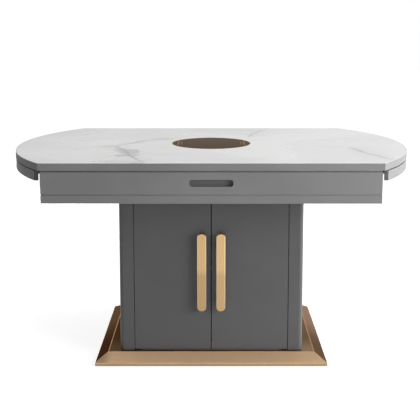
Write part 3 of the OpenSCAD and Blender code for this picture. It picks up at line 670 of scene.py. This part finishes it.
def add_strips():
    """Dust strips over the drawer front and the back board, and the strip that the front rests over."""
    low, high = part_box("drawer_front")
    under_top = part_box("top_panel")[0][2]
    rail_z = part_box("apron_rail")[1][2]
    back_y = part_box("apron_back")[1][1]
    x0, x1 = low[0] + STRIP_SHORT, high[0] - STRIP_SHORT
    y0, y1 = low[1] + STRIP_FACE, low[1] + STRIP_REAR
    rows = (
        ("dust_strip_front", (x0, y0, high[2] + STRIP_HEIGHT), (x1, y1, under_top), STRIP_EASE),
        ("dust_strip_back", (x0, back_y - STRIP_REAR, high[2] + BACK_GAP),
         (x1, back_y - STRIP_FACE, under_top), STRIP_EASE),
        ("drawer_rest_strip", (x0, y0 - MM, rail_z), (x1, y1, rail_z + STRIP_HEIGHT), REST_EASE),
    )
    for name, start, end, ease in rows:
        finish_piece(model_bar(start, end, ease), name, "table", "apron")


RAIL_HALF = 246 * MM             # half the length of the low rail, between the pivot plates
RAIL_FACE, RAIL_REAR = 0.4 * MM, 8 * MM       # behind the doors' outer face


def add_bottom_rail():
    """The low rail under the doors, on the plinth's deck and between the pivot plates."""
    door_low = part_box("door_left")[0]
    deck_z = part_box("plinth_deck")[1][2]
    rail = model_bar((-RAIL_HALF, door_low[1] + RAIL_FACE, deck_z),
                     (RAIL_HALF, door_low[1] + RAIL_REAR, door_low[2] - MM), STRIP_EASE)
    finish_piece(rail, "bottom_rail", "table", "cabinet")


# A screw head's sloping rim and the ring round its socket, as shares of its radius
RIM_SHARE, RING_SHARE = 0.16, 0.38
# The rise of its crown and the depth of its socket, as shares of its height
CROWN_SHARE, SOCKET_SHARE = 0.18, 0.7
SCREW_SIDES = 24


def model_screw(radius, height):
    """A low round screw head with a crowned top and a round socket, its axis along Z."""
    bpy.ops.object.select_all(action="DESELECT")
    bpy.ops.mesh.primitive_cylinder_add(vertices=SCREW_SIDES, radius=radius, depth=height,
                                        location=(0, 0, height / 2))
    head = bpy.context.active_object
    bpy.ops.object.mode_set(mode="EDIT")
    bpy.ops.mesh.select_all(action="DESELECT")
    bpy.ops.object.mode_set(mode="OBJECT")
    for face in head.data.polygons:
        face.select = face.normal.z > FACING
    bpy.ops.object.mode_set(mode="EDIT")
    bpy.ops.mesh.inset(thickness=radius * RIM_SHARE, depth=0.0)
    bpy.ops.transform.translate(value=(0, 0, height * CROWN_SHARE))
    bpy.ops.mesh.inset(thickness=radius * RING_SHARE, depth=0.0)
    bpy.ops.mesh.extrude_region_move(TRANSFORM_OT_translate={"value": (0, 0, -height * SOCKET_SHARE)})
    bpy.ops.object.mode_set(mode="OBJECT")
    return head


def copy_of(pattern, place, turn):
    """A copy of a modelled piece with its own mesh, at a place and turned."""
    copy = bpy.data.objects.new(pattern.name, pattern.data.copy())
    bpy.context.scene.collection.objects.link(copy)
    copy.location = place
    copy.rotation_euler = turn
    return copy


PLATE = 2 * MM                   # thickness of a pivot plate
SCREW_INSET = 5.4 * MM           # of the pivot screws, from the plates' rear edge
SCREW_STEPS = (("inner", 253 * MM), ("outer", 267 * MM))       # away from the middle
BOLT_LEVELS = (("low", 233 * MM), ("high", 427 * MM))          # above the floor


def add_screws():
    """Two screws in each pivot plate, and the bolts that hold the handles, seen on the doors' backs."""
    plates_low, plates_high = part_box("door_pivots")
    screw = model_screw(radius=2.6 * MM, height=0.7 * MM)
    bolt = model_screw(radius=5.0 * MM, height=2.4 * MM)
    row_y = plates_high[1] - SCREW_INSET
    plates = (("low", plates_low[2] + PLATE, 0), ("high", plates_high[2] - PLATE, math.pi))
    for side, sign in (("left", -1), ("right", 1)):
        for step, away in SCREW_STEPS:
            for level, z, turn in plates:
                name = "pivot_screw_%s_%s_%s" % (side, level, step)
                copy = copy_of(screw, (sign * away, row_y, z), (turn, 0, 0))
                finish_piece(copy, name, "table", "steel")
        handle_low, handle_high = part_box("handle_" + side)
        back_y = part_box("door_" + side)[1][1]
        centre_x = (handle_low[0] + handle_high[0]) / 2
        for level, z in BOLT_LEVELS:
            copy = copy_of(bolt, (centre_x, back_y, z), (-math.pi / 2, 0, 0))
            finish_piece(copy, "handle_bolt_%s_%s" % (side, level), side + "_door", "steel")
    for pattern in (screw, bolt):
        bpy.data.objects.remove(pattern)


add_strips()
add_bottom_rail()
add_screws()


# Floor, lamps, world and camera

FLOOR_SIZE = 40.0
FLOOR_GREY = (0.64, 0.64, 0.64, 1.0)
FLOOR_LIFT_NEAR, FLOOR_LIFT_FAR = 0.78, 0.90      # light added where the floor is seen or mirrored
LIFT_START, LIFT_END = 0.6, 2.4                   # metres from the middle: where the near lift turns far
WORLD_LEVEL, WORLD_LEAN = 0.27, 0.27
PURE_WHITE = (1.0, 1.0, 1.0, 1.0)

# Lamps: name, place, aim, size, power, and whether the pieces mirror it
LAMPS = [
    ("right_window", (2.2, -1.8, 1.2), (0.2, -0.3, 0.5), (1.3, 1.3), 50.0, False),
    ("right_side", (2.7, -0.2, 1.0), (0.7, 0.0, 0.6), (1.2, 1.4), 50.0, False),
    ("overhead", (0.4, -0.3, 3.0), (0.0, 0.0, 0.4), (2.6, 2.0), 22.0, True),
    ("back_fill", (-0.7, 3.0, 0.45), (0.0, 0.3, 0.45), (2.4, 0.7), 60.0, False),
    ("left_fill", (-3.0, 0.3, 0.5), (-0.3, 0.0, 0.4), (1.8, 0.8), 6.0, False),
]

CAMERA_LENS = 65.22
CAMERA_PLACE = (0.0, -2.8139, 1.1585)
CAMERA_PITCH = 6.98              # degrees down
CAMERA_SHIFT_X = -0.003
CAMERA_SHIFT_Y = -0.2


def seen_rays(tree):
    """1 for camera, glossy and transmission rays, and 0 for the rest."""
    path = wire(tree, "ShaderNodeLightPath").outputs
    mirrored = figure(tree, "MAXIMUM", path["Is Glossy Ray"], path["Is Transmission Ray"])
    return figure(tree, "MAXIMUM", path["Is Camera Ray"], mirrored)


def add_floor():
    """A wide pale floor, lifted to white where it is seen or mirrored. It keeps the shadow."""
    bpy.ops.mesh.primitive_plane_add(size=FLOOR_SIZE, location=(0.0, 0.0, 0.0))
    floor = bpy.context.active_object
    floor.name = "floor"
    material, tree, shader, place = begin_material("floor_white")
    shader.inputs["Base Color"].default_value = FLOOR_GREY
    shader.inputs["Roughness"].default_value = 0.9
    shader.inputs["Specular IOR Level"].default_value = 0.0
    away = wire(tree, "ShaderNodeVectorMath", {0: place}, operation="LENGTH").outputs["Value"]
    lift = figure(tree, "MULTIPLY", seen_rays(tree),
                  span(tree, away, LIFT_START, LIFT_END, FLOOR_LIFT_NEAR, FLOOR_LIFT_FAR))
    glow = wire(tree, "ShaderNodeEmission", {"Color": PURE_WHITE, "Strength": lift})
    both = wire(tree, "ShaderNodeAddShader", {0: shader.outputs[0], 1: glow.outputs[0]})
    tree.links.new(both.outputs[0], tree.nodes["Material Output"].inputs["Surface"])
    floor.data.materials.append(material)


def add_lamp(name, place, aim, size, power, mirrored):
    """A soft rectangular white lamp that points at a place."""
    light = bpy.data.lights.new(name, "AREA")
    light.shape = "RECTANGLE"
    light.size, light.size_y = size
    light.energy = power
    lamp = bpy.data.objects.new(name, light)
    bpy.context.scene.collection.objects.link(lamp)
    lamp.location = place
    lamp.visible_camera = False
    lamp.visible_glossy = mirrored
    lamp.rotation_euler = (Vector(aim) - Vector(place)).to_track_quat("-Z", "Y").to_euler()


def set_world(level, lean):
    """A plain surround that is white to the eye and lights a little more from the right."""
    world = bpy.data.worlds.new("studio")
    world.use_nodes = True
    tree = world.node_tree
    tree.nodes.clear()
    direction = wire(tree, "ShaderNodeTexCoord").outputs["Generated"]
    to_right = wire(tree, "ShaderNodeSeparateXYZ", {0: direction}).outputs["X"]
    light = figure(tree, "ADD", figure(tree, "MULTIPLY", to_right, lean), level)
    strength = figure(tree, "MAXIMUM", light, seen_rays(tree))
    back = wire(tree, "ShaderNodeBackground", {"Color": PURE_WHITE, "Strength": strength})
    out = wire(tree, "ShaderNodeOutputWorld")
    tree.links.new(back.outputs[0], out.inputs["Surface"])
    bpy.context.scene.world = world


def add_camera():
    """The photograph's viewpoint: nearly level, above the table, with the frame shifted down."""
    camera = bpy.data.cameras.new("photo_view")
    camera.lens = CAMERA_LENS
    camera.sensor_width = 36.0
    camera.shift_x = CAMERA_SHIFT_X
    camera.shift_y = CAMERA_SHIFT_Y
    holder = bpy.data.objects.new("photo_view", camera)
    bpy.context.scene.collection.objects.link(holder)
    holder.location = CAMERA_PLACE
    holder.rotation_euler = (math.radians(90.0 - CAMERA_PITCH), 0.0, 0.0)
    bpy.context.scene.camera = holder


add_floor()
set_world(WORLD_LEVEL, WORLD_LEAN)
for lamp_row in LAMPS:
    add_lamp(*lamp_row)
add_camera()
bpy.context.scene.view_settings.view_transform = "Standard"
